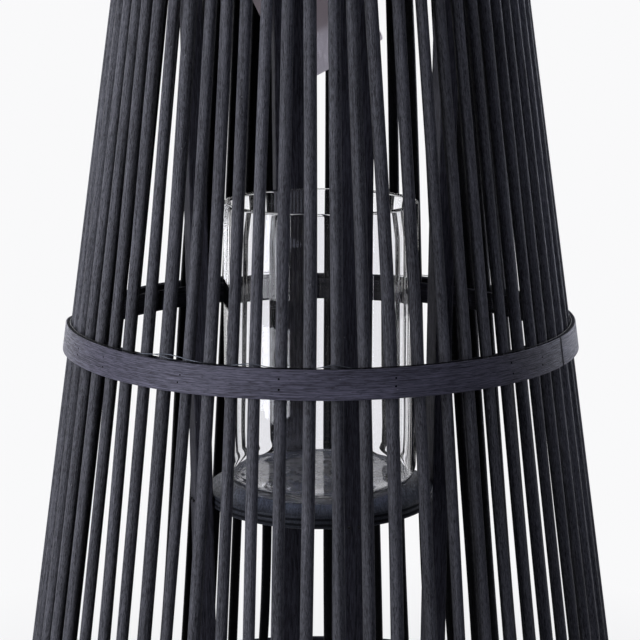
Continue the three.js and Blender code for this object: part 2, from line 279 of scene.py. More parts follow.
def plain_card():
    """Uncoated pale card with painted shade above its crease, where it is greyer: pulp fibres show as a soft
    mottle, and the crease has rubbed paler still. Its rubbed attribute and the attribute of the painted shade
    say where. Light from behind comes through it."""
    material, tree = new_material("uncoated_card")
    place = own_place(tree)
    pulp = noise(tree, place, (1.2, 1.2, 1.2), detail=5.0, roughness=0.7)
    cloud = noise(tree, place, (18, 18, 18))
    shade = blended(tree, ranged(tree, pulp, 0.3, 0.7), linear("#d3ced8"), linear("#e6e2ea"))
    clouded = blended(tree, ranged(tree, cloud, 0.35, 0.65, 0.0, 0.4), shade, linear("#c4bfc8"))
    # Painted shade: the card is painted greyer above its crease
    shade_painted = blended(tree, attribute(tree, "upper"), clouded, linear("#a3989e"))
    rubbed = calculated(tree, "MULTIPLY", attribute(tree, "rubbed"), ranged(tree, pulp, 0.35, 0.6))
    finish_principled(tree, {
        "Base Color": blended(tree, rubbed, shade_painted, linear("#f0edf0")), "Roughness": 0.88,
        "Specular IOR Level": 0.25, "Transmission Weight": 0.85, "Normal": bumped(tree, pulp, 0.5, 0.05),
    })
    return material


# Peeled round bamboo: the finest fibres, a soft satin where the skin was
STICK = stained_wood("stained_round_bamboo", dark="#131316", light="#6c6c73", fibre=0.34, dash=3.2,
                     length=26, specular=0.1, dullness=0.55, relief=0.1)
# Split flat strip: longer, straighter fibres that show as fine lines all along the hoop
STRIP = stained_wood("stained_bamboo_strip", dark="#15141b", light="#696778", fibre=0.4, dash=9,
                     length=50, specular=0.2, dullness=0.5, relief=0.12)
# Sawn slat: a little coarser and duller
SLAT = stained_wood("stained_bamboo_slat", dark="#1a1a1f", light="#4f4e59", fibre=0.6, dash=8,
                    length=30, specular=0.14, dullness=0.68, relief=0.08)
# Plywood face veneer under the same stain, rubbed smooth enough to catch a soft sheen
PLYWOOD = stained_wood("stained_plywood_veneer", dark="#20232b", light="#4e525f", fibre=0.7, dash=5,
                       length=14, specular=0.3, dullness=0.5, relief=0.08)
# The candle's cylinder: colourless, but for its scuffed foot
GLASS = clear_glass()
# Heads of the nails in the legs and of the tag's pin: mid grey, half worn of their oxide
NAIL_STEEL = dull_steel("dull_nail_steel", "#48474a", roughness=0.5)
# Brads in the outer hoops: nearly black, because they took the stain with the strip
BRAD_STEEL = dull_steel("blackened_brad_steel", "#0b0b0c", roughness=0.7)
# The wire along the middle hoop's edge
WIRE_STEEL = stained_wire()
# The tag
CARD = plain_card()


# ---- Surfaces from grids of points ----------------------------------------------------------------

def grid_faces(rows, columns, loop=False):
    """Quads between neighbouring points of a grid numbered row by row. The columns always join round;
    with loop the last row joins the first as well."""
    i, j = np.meshgrid(np.arange(rows if loop else rows - 1), np.arange(columns), indexing="ij")
    up, across = (i + 1) % rows, (j + 1) % columns
    corners_of = [i * columns + j, i * columns + across, up * columns + across, up * columns + j]
    return np.stack(corners_of, axis=-1).reshape(-1, 4)


def with_poles(grid, first=None, last=None):
    """A grid's points as a list, then one point that closes each end: given, or the middle of its ring."""
    first = grid[0].mean(axis=0) if first is None else first
    last = grid[-1].mean(axis=0) if last is None else last
    return np.vstack([grid.reshape(-1, grid.shape[-1]), [first, last]])


def capped_faces(rows, columns):
    """A tube's quads, and a fan of triangles round each of the two pole points that follow the grid."""
    j = np.arange(columns)
    across = (j + 1) % columns
    top = (rows - 1) * columns
    first_fan = np.stack([across, j, np.full(columns, rows * columns)], axis=-1)
    last_fan = np.stack([top + j, top + across, np.full(columns, rows * columns + 1)], axis=-1)
    return [grid_faces(rows, columns), first_fan, last_fan]


def volume(points, faces):
    """The volume that faces enclose, negative if they are turned inward: a sum of tetrahedra."""
    total = 0.0
    for part in faces:
        for k in range(1, part.shape[1] - 1):
            a, b, c = points[part[:, 0]], points[part[:, k]], points[part[:, k + 1]]
            total += np.einsum("ij,ij->", a, np.cross(b, c)) / 6
    return total


SHARP_ANGLE = 50  # degrees between two faces from which the edge between them is shaded sharp


def add_piece(name, points, faces, material, slot, body="frame", replaces=(), **attributes):
    """Makes a piece from points and faces turned outward, with point attributes, that rides on a body."""
    if volume(points, faces) < 0:
        faces = [part[:, ::-1] for part in faces]
    mesh = bpy.data.meshes.new(name)
    mesh.from_pydata(points.tolist(), [], [face for part in faces for face in part.tolist()])
    for key, values in attributes.items():
        kind, field = ("FLOAT_VECTOR", "vector") if np.ndim(values) == 2 else ("FLOAT", "value")
        layer = mesh.attributes.new(key, kind, "POINT")
        layer.data.foreach_set(field, np.asarray(values, np.float32).ravel())
    mesh.shade_smooth()
    mesh.set_sharp_from_angle(angle=math.radians(SHARP_ANGLE))
    mesh.materials.append(material)
    piece = bpy.data.objects.new(name, mesh)
    bpy.context.scene.collection.objects.link(piece)
    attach(piece, body)
    if replaces:
        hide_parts(*replaces)
    return piece


def turned(profile, columns):
    """A profile of (radius, height) points, from the axis back to the axis, turned about it."""
    profile = np.asarray(profile, float)
    angle = np.arange(columns) / columns * TURN
    radius, height = profile[1:-1, 0, None], profile[1:-1, 1, None]
    grid = np.stack(np.broadcast_arrays(radius * np.sin(angle), -radius * np.cos(angle), height), axis=-1)
    poles = [np.array([0, 0, z]) for z in (profile[0, 1], profile[-1, 1])]
    return with_poles(grid, *poles), capped_faces(len(grid), columns)


def arc(centre_radius, centre_height, radius, start, end, steps):
    """Points of an arc from one angle to another in degrees, ends included, as (radius, height)."""
    angle = np.radians(np.linspace(start, end, steps + 1))
    return np.stack([centre_radius + radius * np.cos(angle), centre_height + radius * np.sin(angle)], axis=-1)


CORNER_STEPS = 4


def rounded_rectangle(width, depth, radius, spans=6):
    """A rounded rectangle about the origin as points and their outward normals. Each side's points
    stand closer near its ends, on a cosine, so that the flat stays flat when it is shaded."""
    points, normals = [], []
    for quarter in range(4):
        angle = (quarter + np.linspace(0, 1, CORNER_STEPS + 1)) * math.pi / 2
        turn = np.stack([np.cos(angle), np.sin(angle)], axis=-1)
        corner = np.array([width / 2 - radius, depth / 2 - radius]) * np.sign(turn[CORNER_STEPS // 2])
        points.append(corner + radius * turn)
        normals.append(turn)
        length = (depth if quarter % 2 else width) - 2 * radius
        share = (1 - np.cos(np.arange(1, spans) / spans * math.pi)) / 2
        forward = np.array([-turn[-1][1], turn[-1][0]])
        points.append(points[-1][-1] + share[:, None] * length * forward)
        normals.append(np.repeat(turn[-1:], spans - 1, axis=0))
    return np.vstack(points), np.vstack(normals)


def slow_waves(share, turns, swing):
    """A sum of sines along a length of 0 to 1, each with a random phase, of about the given swing."""
    phases = rng.uniform(0, TURN, len(turns))
    waves = (np.sin(TURN * n * share + phase) for n, phase in zip(turns, phases))
    return swing / len(turns) * sum(waves)


def bell(azimuth, middle, half_width):
    """1 at a middle azimuth, falling smoothly away on both sides as a Gaussian does, in degrees."""
    away = (azimuth - middle + 180) % 360 - 180
    return np.exp(-(away / half_width) ** 2)


def towards(azimuth):
    """The level unit vectors outward and sideways, towards larger azimuths, at an azimuth."""
    zero = np.zeros_like(azimuth)
    outward = np.stack([np.sin(azimuth), -np.cos(azimuth), zero], axis=-1)
    sideways = np.stack([np.cos(azimuth), np.sin(azimuth), zero], axis=-1)
    return outward, sideways


# ---- What the frame gives -------------------------------------------------------------------------

LEVEL = 0.02 * MM  # corners that differ less in height lie on one level
NEAR = 0.1 * MM  # distances from the axis that differ less are the same


def corners(node):
    """A CAD node's corners, each once, to a thousandth of a millimetre."""
    mesh = frame["nodes"][node].data
    points = np.empty(3 * len(mesh.vertices))
    mesh.vertices.foreach_get("co", points)
    return np.unique(points.reshape(-1, 3).round(6), axis=0)


def azimuth_of(points):
    return np.arctan2(points[..., 0], -points[..., 1])


def end_rings(points):
    """The corners at the lowest level and those at the highest."""
    heights = points[:, 2]
    return [points[np.abs(heights - level) < LEVEL] for level in (heights.min(), heights.max())]


def stick_axes():
    """Each stick's node, ends and radius, in order round the cage. A pair's corners at each end divide
    into its two sticks on either side of their middle azimuth."""
    axes = []
    for node in sorted(n for n in frame["nodes"] if n.startswith("stick_pair_")):
        ends = {False: [], True: []}
        for ring in end_rings(corners(node)):
            beyond = np.sin(azimuth_of(ring) - azimuth_of(ring.mean(axis=0))) > 0
            for side in ends:
                ends[side].append(ring[beyond == side])
        for low, high in ends.values():
            centre = low.mean(axis=0)
            radius = np.linalg.norm(low - centre, axis=1).max()
            axes.append({"node": node, "low": centre, "high": high.mean(axis=0), "radius": radius})
    return axes


AXES = stick_axes()


# ---- Sticks and legs ------------------------------------------------------------------------------

STICK_SIDES = 18
STICK_ROWS = 36
STICK_THICKNESS = (0.93, 1.0)  # of the CAD's, from stick to stick
SLOW_SWELL, QUICK_SWELL = 0.012, 0.006  # along a stick, of its thickness
STICK_OVAL, STICK_LUMPS = 0.015, 0.006  # round a stick, of its thickness
STICK_BEND = 0.25  # mm, the usual size of a stick's own bend
STICK_END_WEAR = 0.6 * MM
STICK_TONES = (0.86, 1.12)  # from stick to stick
STICK_END_TONE = 0.8
# Sticks that are nailed a little off their even place: how far each strays sideways, towards larger
# azimuths, near the shelf, at the middle hoop and halfway up to the top, in mm. The base strays as far as
# near the shelf, and the top end stays in place.
STRAYS = {
    1: (0.5, 0.5, 0.4), 2: (-0.5, 0, -2.3), 3: (-2.5, -1, -4.8), 4: (0, 0, -1.5), 5: (0, 1, 0),
    6: (0.5, 1, -0.5), 7: (0.5, 0.5, 0), 8: (0.5, 0.5, 0), 23: (1.3, 0, 0), 24: (2.3, 0, 0),
    25: (1.5, 0, -1.5), 26: (0, 0, -3), 27: (0, -3, -4), 28: (-0.8, -3.5, -6.5), 29: (-0.8, -3, -7),
    30: (0, 0, -2), 32: (-1, -2, -3.5), 35: (-5, -1.5, -0.8), 37: (0, 0, 1.5), 38: (0.7, 1.5, 1.5),
    39: (0.5, 2.7, 0), 55: (1.5, 0.5, -2), 56: (2, 0, -2.5), 57: (0, 0, -2), 58: (-0.5, 0, -2),
    59: (-1.5, 0.5, 0), 60: (0, 0.5, -1), 61: (0.5, 0, -1), 62: (0.5, -0.8, -0.5), 63: (0, -0.5, -0.5),
    64: (-0.5, 0.5, -0.5),
}
STRAY_SHARES = (0, 0.23, 0.41, 0.71, 1)  # of the height: the base, those three levels and the top
THICK_STICKS = {3: 1.05, 58: 1.13}  # times the thickness they would have
SHADED_STICKS = {2: 0.72}  # painted shade: sticks painted darker for the shade that a nearer neighbour casts on them, times their tone
INSIDE_SHADE = 0.12  # painted shade: the sides of the sticks that face into the cage are painted darker, for the shade inside it
INSIDE_SHADE_FALL = 1.3  # how fast the tone falls to that painted shade round a stick
LEG_ROWS = 48
LEG_CORNER = 0.9 * MM
LEG_END_WEAR = 0.5 * MM
LEG_BOW = 0.2 * MM
LEG_SWELL = 0.008  # of its section
LEG_BENDS = {"back": 1.2}  # mm towards larger azimuths, most at seven tenths of the height
END_WEAR = np.array([[0, 1], [0.25, 0.4], [0.7, 0.08], [1.2, 0]])  # distances from an end, depths there
BAR_GRAIN_SHIFT = 5


def shifted(grain, reach):
    """Grain coordinates and those of the poles, moved at random by up to a reach in metres, so that no
    two pieces show the same part of the pattern."""
    return with_poles(grain) + rng.uniform(-reach, reach, 3)


def bar(low, high, section, sideways, outward, rows, worn, girth, bow):
    """A section carried up a straight line as level rings, which swells and bows a little on the way;
    its end edges are worn round. Returns the points and the grain coordinates, across, across, along."""
    points, normals = section
    length = high[2] - low[2]
    wear = END_WEAR * worn
    middle = np.linspace(0, 1, rows + 2)[1:-1]
    share = np.concatenate([wear[:, 0] / length, middle, 1 - wear[::-1, 0] / length])
    inset = np.concatenate([wear[:, 1], np.zeros(rows), wear[::-1, 1]])
    flat = points[None] * girth(share)[..., None] - inset[:, None, None] * normals[None]
    centre = low + share[:, None] * (high - low) + bow(share)[:, None] * sideways
    grid = centre[:, None] + flat[..., 0, None] * sideways + flat[..., 1, None] * outward
    along = np.broadcast_to(share[:, None, None] * length, flat.shape[:2] + (1,))
    return grid, np.concatenate([flat, along], axis=-1)


def add_sticks():
    """Round sticks: a circle that is a little oval and swells by slow sines of a percent or so along the
    stick, carried up a straight line that strays by a smooth curve of the fourth degree through the
    stick's strays and bends by half a sine."""
    angle = np.arange(STICK_SIDES) / STICK_SIDES * TURN
    circle = np.stack([np.cos(angle), np.sin(angle)], axis=-1)
    # Painted shade: each stick's tone falls towards the side that faces into the cage
    inside_shade = INSIDE_SHADE + (1 - INSIDE_SHADE) * np.clip(1 + INSIDE_SHADE_FALL * circle[:, 1], 0, 1)
    for number, axis in enumerate(AXES, 1):
        outward, sideways = towards(azimuth_of(axis["low"]))
        thick = rng.uniform(*STICK_THICKNESS) * THICK_STICKS.get(number, 1)
        flat_way, swell = rng.uniform(0, TURN), rng.uniform(0, TURN)
        low, middle, high = STRAYS.get(number, (0, 0, 0))
        curve = np.polyfit(STRAY_SHARES, [low, low, middle, high, 0], 4) * MM
        bend = rng.normal(0, STICK_BEND) * MM

        def girth(share):
            slow, quick = np.sin(TURN * 1.3 * share + swell), np.sin(TURN * 4.1 * share + 2 * swell)
            along = SLOW_SWELL * slow + QUICK_SWELL * quick
            oval = STICK_OVAL * np.cos(2 * (angle - flat_way)) + STICK_LUMPS * np.cos(5 * angle + swell)
            return thick + along[:, None] + oval[None]

        def bow(share):
            return bend * np.sin(math.pi * share) + np.polyval(curve, share)

        grid, grain = bar(axis["low"], axis["high"], (circle * axis["radius"], circle), sideways, outward,
                          STICK_ROWS, STICK_END_WEAR, girth, bow)
        moved = shifted(grain, BAR_GRAIN_SHIFT)
        tone = np.append(np.tile(inside_shade, len(grid)), [STICK_END_TONE, STICK_END_TONE])
        # Painted shade on the sticks listed as shaded by a neighbour
        tone = tone * rng.uniform(*STICK_TONES) * SHADED_STICKS.get(number, 1)
        add_piece(f"stick_{number:02d}", with_poles(grid), capped_faces(*grid.shape[:2]), STICK,
                  "stained_bamboo_stick", replaces=[axis["node"]], grain=moved, tone=tone)


def add_legs():
    """Flat slats: a rounded rectangle that swells by a slow sine, carried up a leaning line that bows by
    slow sines."""
    for side in SIDES:
        node = f"leg_{side}"
        low, high = end_rings(corners(node))
        outward, sideways = towards(azimuth_of(low.mean(axis=0)))
        width, depth = np.ptp(low @ sideways), np.ptp(low @ outward)
        section = rounded_rectangle(width, depth, LEG_CORNER)
        swell = rng.uniform(0, TURN)
        bend = LEG_BENDS.get(side, 0) * MM

        def girth(share):
            along = 1 + LEG_SWELL * np.sin(TURN * 2.2 * share + swell)
            return along[:, None] * np.ones(len(section[0]))

        def bow(share):
            return LEG_BOW * np.sin(TURN * share + swell) + bend * np.sin(math.pi * share ** 2)

        grid, grain = bar(low.mean(axis=0), high.mean(axis=0), section, sideways, outward, LEG_ROWS,
                          LEG_END_WEAR, girth, bow)
        points = with_poles(grid)
        add_piece(f"{side}_leg_slat", points, capped_faces(*grid.shape[:2]), SLAT, "stained_bamboo_leg",
                  replaces=[node], grain=shifted(grain, BAR_GRAIN_SHIFT), tone=np.ones(len(points)))


# ---- Hoops, their nails and the wire --------------------------------------------------------------

HOOP_COLUMNS = 420
HOOP_EDGE = 0.55 * MM
HOOP_BEVEL = 0.38  # how far the top edge of an outer strip falls towards the sticks, per width of its top
HOOP_SWAY = 0.12 * MM  # in and out
HOOP_LIFT = 0.25 * MM  # up and down
# Where a strip sits low: azimuth in degrees, depth in mm, half width in degrees
HOOP_SAGS = {"outer_hoop_middle": (-103, 4.5, 13)}
# Painted shade on a strip's inner face and on its top edge, in the dark gap under the sticks, and a painted
# highlight along its lower outer rim: times the tone
HOOP_INSIDE_SHADE = 0.35
HOOP_TOP_SHADE = 0.35
HOOP_RIM_HIGHLIGHT = 1.7
HOOP_CUT_TONE = 0.2
CUT_SHADE, CUT_REACH = 0.85, 0.8 * MM  # how much darker a strip is by its cut ends, and over what length
FIRST_SHINE, FIRST_REACH = 0.35, 22 * MM  # how much paler it is by its first end, and over what length
HOOP_GRAIN_SHIFT = 3
NAILED_STICKS = (3, 8, 10, 14, 18, 22, 26, 30, 34, 38, 42, 46, 50, 53, 55, 59, 63)  # about every fourth
BRAD_LEVELS = (0.33, 0.64)  # shares of the hoop's width
BRAD_LEVEL_STRAY = 0.03
BRAD_STRAY = 0.4 * MM  # sideways
BRAD_HEAD = 0.6 * MM
BRAD_RISE = 0.08 * MM
BRAD_SINKING = 0.5 * MM


def ring_shape(node):
    """A hoop's lower level, its width, its outer radius there and how that changes with height, its
    thickness, and its seam: the azimuth and half angle of the narrowest step between neighbouring
    corners of its lower outer edge."""
    low, high = end_rings(corners(node))
    reach_low, reach_high = (np.hypot(ring[:, 0], ring[:, 1]) for ring in (low, high))
    outer, width = reach_low.max(), high[0, 2] - low[0, 2]
    edge = np.sort(azimuth_of(low[reach_low > outer - NEAR]))
    steps = np.diff(np.append(edge, edge[0] + TURN))
    narrow = steps.argmin()
    return {
        "low": low[0, 2], "width": width, "outer": outer, "slope": (reach_high.max() - outer) / width,
        "thickness": np.ptp(reach_low), "seam": edge[narrow] + steps[narrow] / 2,
        "half_gap": steps[narrow] / 2,
    }


def strip_tone(flat, run, thickness, width):
    """How light a strip is: painted shade on its top edge, for the dark gap under the sticks, and on its
    inner face; a painted highlight along its lower outer rim; dark within a hair of its cut ends, and a
    little paler towards its first end."""
    # Painted shade on the top edge, and a painted highlight on the lower outer rim
    shaded_top = (flat[:, 1] > width / 2 - NEAR) & (flat[:, 0] < thickness / 2 - HOOP_EDGE)
    highlit_rim = (flat[:, 1] < HOOP_EDGE / 2 - width / 2) & (flat[:, 0] > thickness / 2 - HOOP_EDGE)
    inside_shade = np.where(flat[:, 0] < 0, HOOP_INSIDE_SHADE, 1.0)
    section_tone = np.where(shaded_top, HOOP_TOP_SHADE, np.where(highlit_rim, HOOP_RIM_HIGHLIGHT, inside_shade))
    from_end = np.minimum(run - run[0], run[-1] - run)
    cut = 1 - CUT_SHADE * np.exp(-from_end / CUT_REACH)
    first = 1 + FIRST_SHINE * np.exp(-(run - run[0]) / FIRST_REACH)
    return section_tone * cut * first


def add_hoop(side, place):
    """A flat strip bent round: a rounded rectangle carried from one side of its seam to the other, as far
    out as the cage's slope says at each height, with slow waves in and out and up and down."""
    node = f"{side}_hoop_{place}"
    ring = ring_shape(node)
    width, thickness = ring["width"], ring["thickness"]
    flat, _ = rounded_rectangle(thickness, width, HOOP_EDGE)
    share = np.linspace(0, 1, HOOP_COLUMNS)
    azimuth = ring["seam"] + ring["half_gap"] + share * (TURN - 2 * ring["half_gap"])
    rise = flat[:, 1] + width / 2
    if side == "outer":
        near_top = np.clip(flat[:, 1] / (width / 2), 0, 1) ** 8
        rise = rise - HOOP_BEVEL * (thickness / 2 - flat[:, 0]) * near_top
    reach = ring["outer"] - thickness / 2 + ring["slope"] * rise + flat[:, 0]
    sway = slow_waves(share, (3, 7, 16), HOOP_SWAY)
    lift = slow_waves(share, (2, 5, 9), HOOP_LIFT)
    if node in HOOP_SAGS:
        middle, depth, half_width = HOOP_SAGS[node]
        lift = lift - depth * MM * bell(np.degrees(azimuth), middle, half_width)
    outward, _ = towards(azimuth)
    grid = outward[:, None] * (reach[None, :, None] + sway[:, None, None])
    grid[..., 2] = ring["low"] + rise[None] + lift[:, None]
    run = np.broadcast_to((azimuth - ring["seam"])[:, None] * ring["outer"], grid.shape[:2])
    across = [np.broadcast_to(values, run.shape) for values in (flat[:, 0], rise)]
    tone = strip_tone(flat, run, thickness, width)
    add_piece(f"{side}_{place}_hoop_strip", with_poles(grid), capped_faces(*grid.shape[:2]), STRIP,
              "stained_bamboo_hoop", replaces=[node],
              grain=shifted(np.stack([*across, run], axis=-1), HOOP_GRAIN_SHIFT),
              tone=np.append(tone.ravel(), [HOOP_CUT_TONE, HOOP_CUT_TONE]))
    return ring


def placed(points, origin, direction):
    """Points with their height turned to a direction, from an origin."""
    side = np.cross(UP, direction)
    side /= np.linalg.norm(side)
    across = points[:, :1] * side + points[:, 1:2] * np.cross(direction, side)
    return origin + across + points[:, 2:] * direction


def domed_head(radius, rise, sunk):
    """A low domed nail head: half an ellipse over a short skirt that goes into the wood."""
    angle = np.radians(np.linspace(0, 90, 6))
    dome = np.stack([radius * np.cos(angle), rise * np.sin(angle)], axis=-1)
    return np.vstack([[[0, -sunk], [0.8 * radius, -sunk], [radius, -0.1 * sunk]], dome])


def joined(parts):
    """Several (points, faces) surfaces as one."""
    starts = np.cumsum([0] + [len(points) for points, _ in parts])
    faces = [part + start for (_, own), start in zip(parts, starts) for part in own]
    return np.vstack([points for points, _ in parts]), faces


def add_brads(place, ring):
    """Small nails shot through the outer hoop into about every fourth stick, two to a stick."""
    slope = ring["slope"]
    heads = []
    for number in NAILED_STICKS:
        axis = AXES[number - 1]
        for share in BRAD_LEVELS:
            level = ring["low"] + (share + rng.normal(0, BRAD_LEVEL_STRAY)) * ring["width"]
            azimuth = azimuth_of(axis["low"]) + rng.normal(0, BRAD_STRAY) / ring["outer"]
            outward, _ = towards(azimuth)
            origin = outward * (ring["outer"] + slope * (level - ring["low"])) + level * UP
            direction = (outward - slope * UP) / math.hypot(1, slope)
            points, faces = turned(domed_head(BRAD_HEAD, BRAD_RISE, BRAD_SINKING), 12)
            heads.append((placed(points, origin, direction), faces))
    points, faces = joined(heads)
    add_piece(f"outer_{place}_hoop_brads", points, faces, BRAD_STEEL, "dark_steel")


WIRE_COLUMNS = 720
WIRE_SIDES = 8
WIRE_WAVE = 0.08 * MM
# Where the wire springs up off the hoop's edge: azimuth in degrees, height in mm, half width in degrees.
# At the first place it sinks with the hoop's sag.
WIRE_SPRINGS = (
    (-103, -4.5, 13), (-33.5, 2.5, 5.2), (-14.5, 1.7, 3.2), (2.8, 1.9, 2.6), (96, 1.4, 4), (152, 1.2, 5),
    (196, 1.6, 4),
)
WIRE_SINKING = 0.7 * MM  # into the groove between the hoop's bevelled edge and the sticks
WIRE_LAP = (-46, 8)  # degrees between which the wire's end lies over its start
LAP_SPRINGS = ((-37, 1.5, 3.5), (-16.0, 1.0, 2.4), (1.2, 1.0, 2.2))
LAP_OFFSET = 2.1  # how far out the end lies from the start, per radius of the wire
LAP_THICKNESS = 0.9  # of the wire's


def wire_strand(azimuth, springs, level, reach, radius):
    """A circle carried round a level arc that springs up here and there in a smooth bell. Returns the
    grid of points, and for each point how far its ring springs up, in mm and at most 1."""
    turn = np.degrees(azimuth)
    lift = sum(rise * bell(turn, middle, half_width) for middle, rise, half_width in springs)
    height = level + slow_waves(azimuth / TURN, (4, 11, 23), WIRE_WAVE) + lift * MM
    angle = np.arange(WIRE_SIDES) / WIRE_SIDES * TURN
    outward, _ = towards(azimuth)
    grid = outward[:, None] * (reach + radius * np.cos(angle))[None, :, None]
    grid[..., 2] = height[:, None] + radius * np.sin(angle)
    return grid, np.repeat(np.clip(lift, 0, 1), WIRE_SIDES)


def add_wire():
    """Thin wire once round the cage on the hoop's top edge, and the end that laps over its start."""
    low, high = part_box("binding_wire")
    radius = (high.z - low.z) / 2
    reach, level = high.x - radius, low.z + radius - WIRE_SINKING
    whole = np.arange(WIRE_COLUMNS) / WIRE_COLUMNS * TURN
    ring, ring_bare = wire_strand(whole, WIRE_SPRINGS, level, reach, radius)
    end = np.radians(np.linspace(*WIRE_LAP, WIRE_COLUMNS // 6))
    lap, lap_bare = wire_strand(end, LAP_SPRINGS, level, reach + LAP_OFFSET * radius, LAP_THICKNESS * radius)
    points, faces = joined([(ring.reshape(-1, 3), [grid_faces(WIRE_COLUMNS, WIRE_SIDES, loop=True)]),
                            (with_poles(lap), capped_faces(len(lap), WIRE_SIDES))])
    add_piece("tying_wire", points, faces, WIRE_STEEL, "grey_wire", replaces=["binding_wire"],
              bare=np.concatenate([ring_bare, lap_bare, [0, 0]]))


def add_hoops():
    for place in ("bottom", "middle", "top"):
        add_brads(place, add_hoop("outer", place))
        add_hoop("inner", place)


# ---- Shelf and glass ------------------------------------------------------------------------------

PLIES = 5
PLY_TONES = (0.5, 0.15, 0.7, 0.2, 0.8)  # from below: end grain drinks more stain than long grain
PLY_STEP = 0.25 * MM  # how far every second ply stands back
SHELF_FACE_REFLECTION = 6.0  # painted reflection: the flat faces are painted far paler than the thirsty edge, for the pale backdrop that the top reflects at a grazing angle
SHELF_EDGE_DEPTH = 0.45 * MM  # what counts as the edge
SHELF_EDGE_BREAK = 0.3 * MM
SAW_WAVE = 0.12 * MM
SHELF_COLUMNS = 240


def add_shelf():
    """A disc whose edge steps in and out by a hair at each ply, with a rough sawn wave round it."""
    low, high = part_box("shelf")
    radius, thickness = high.x, high.z - low.z

    def ply_at(heights):
        return np.minimum((heights / thickness * PLIES).astype(int), PLIES - 1)

    heights = np.linspace(SHELF_EDGE_BREAK, thickness - SHELF_EDGE_BREAK, 4 * PLIES + 1)
    reach = radius - np.where(ply_at(heights) % 2, PLY_STEP, 0.0)
    edge = np.stack([reach, heights], axis=-1)
    profile = np.vstack([[[0, 0], [radius / 2, 0], [radius - 0.5 * MM, 0]], edge,
                         [[radius - 0.35 * MM, thickness], [radius / 2, thickness], [0, thickness]]])
    points, faces = turned(profile, SHELF_COLUMNS)
    saw = slow_waves(azimuth_of(points) / TURN, (19, 43, 88, 117), SAW_WAVE)
    near_edge = np.clip(np.hypot(points[:, 0], points[:, 1]) / radius, 0, 1) ** 8
    stretch = 1 + saw * near_edge / radius
    points[:, :2] *= stretch[:, None]
    points[:, 2] += low.z
    ply_tone = np.array(PLY_TONES)[ply_at(points[:, 2] - low.z)]
    at_edge = np.abs(np.hypot(points[:, 0], points[:, 1]) - radius) < SHELF_EDGE_DEPTH
    # The tone is the plies' own stain on the edge, and a painted reflection on the flat faces
    add_piece("round_shelf", points, faces, PLYWOOD, "stained_plywood", replaces=["shelf"],
              grain=points[:, [2, 0, 1]], tone=np.where(at_edge, ply_tone, SHELF_FACE_REFLECTION))


GLASS_WALL = 3.5 * MM
GLASS_BASE = 7 * MM
GLASS_FOOT_RADIUS = 16 * MM
GLASS_FLOOR_RADIUS = 5 * MM
GLASS_HOLLOW = 0.7 * MM  # how far the middle of the foot stands clear of the shelf
GLASS_LEVELS = (0.15, 0.3, 0.45, 0.6, 0.75, 0.9)  # of the height, where the straight wall has points
GLASS_FROST = 6.5 * MM  # the height that the scuffs of the foot reach
GLASS_COLUMNS = 160


def add_glass():
    """A straight cylinder with a round lip, a thick base, a rounded foot and a rounded floor: arcs and
    straight lines turned about the axis. The floor dishes a little, and the foot is a little hollow."""
    low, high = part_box("glass_cylinder")
    outside, height = high.x, high.z - low.z
    inside, lip = outside - GLASS_WALL, GLASS_WALL / 2
    foot, floor = GLASS_FOOT_RADIUS, GLASS_FLOOR_RADIUS
    profile = np.vstack([
        [[0, GLASS_HOLLOW], [0.6 * outside, GLASS_HOLLOW], [outside - foot - 2 * MM, 0.1 * MM]],
        arc(outside - foot, foot, foot, -90, 0, 12),
        [[outside, height * share] for share in GLASS_LEVELS],
        arc(inside + lip, height - lip, lip, 0, 180, 12),
        [[inside, height * share] for share in GLASS_LEVELS[:0:-1]],
        arc(inside - floor, GLASS_BASE + floor, floor, 0, -90, 12),
        [[0.4 * outside, GLASS_BASE - 0.3 * MM], [0, GLASS_BASE - 0.4 * MM]],
    ])
    points, faces = turned(profile, GLASS_COLUMNS)
    frost = np.clip(1 - points[:, 2] / GLASS_FROST, 0, 1)
    points[:, 2] += low.z
    add_piece("candle_glass", points, faces, GLASS, "clear_glass", body="glass", replaces=["glass_cylinder"],
              frost=frost)


# ---- Nails and tag --------------------------------------------------------------------------------

def leg_outward(side):
    low, _ = end_rings(corners(f"leg_{side}"))
    return towards(azimuth_of(low.mean(axis=0)))[0]


HEAD_SHARE = 0.7  # a nail head's radius per the CAD's: the stain hides its rim
HEAD_DEPTH = 0.6 * MM  # from the top of the rim to its underside
NECK_DEPTH = 0.7 * MM
HEAD_SKIRT = 0.4 * MM
HEAD_RISE = 0.35 * MM
PIN_RISE = 0.5 * MM
POINT_LENGTH = 1.5 * MM


def add_nail(name, node, direction, rise):
    """A driven nail: a domed head on its shank, pointing back along its direction."""
    points = corners(node)
    reach = points @ direction
    top = points[reach > reach.max() - NEAR]
    centre = top.mean(axis=0)
    radius = HEAD_SHARE * np.linalg.norm(top - centre, axis=1).max()
    length = np.ptp(reach)
    shank = 0.5 * radius
    profile = np.vstack([[[0, -length], [shank, -length + POINT_LENGTH], [shank, -NECK_DEPTH],
                          [radius, -HEAD_DEPTH]], domed_head(radius, rise, HEAD_SKIRT)[2:]])
    made, faces = turned(profile, 24)
    add_piece(name, placed(made, centre, direction), faces, NAIL_STEEL, "dark_steel", replaces=[node])


def add_nails():
    for side in SIDES:
        outward = leg_outward(side)
        for number in (1, 2):
            add_nail(f"{side}_shelf_nail_head_{number}", f"shelf_nail_{side}_{number}", outward, HEAD_RISE)
        add_nail(f"{side}_top_nail_head", f"hoop_nail_{side}", -outward, HEAD_RISE)
    add_nail("tag_pin_head", "tag_pin", leg_outward("back"), PIN_RISE)


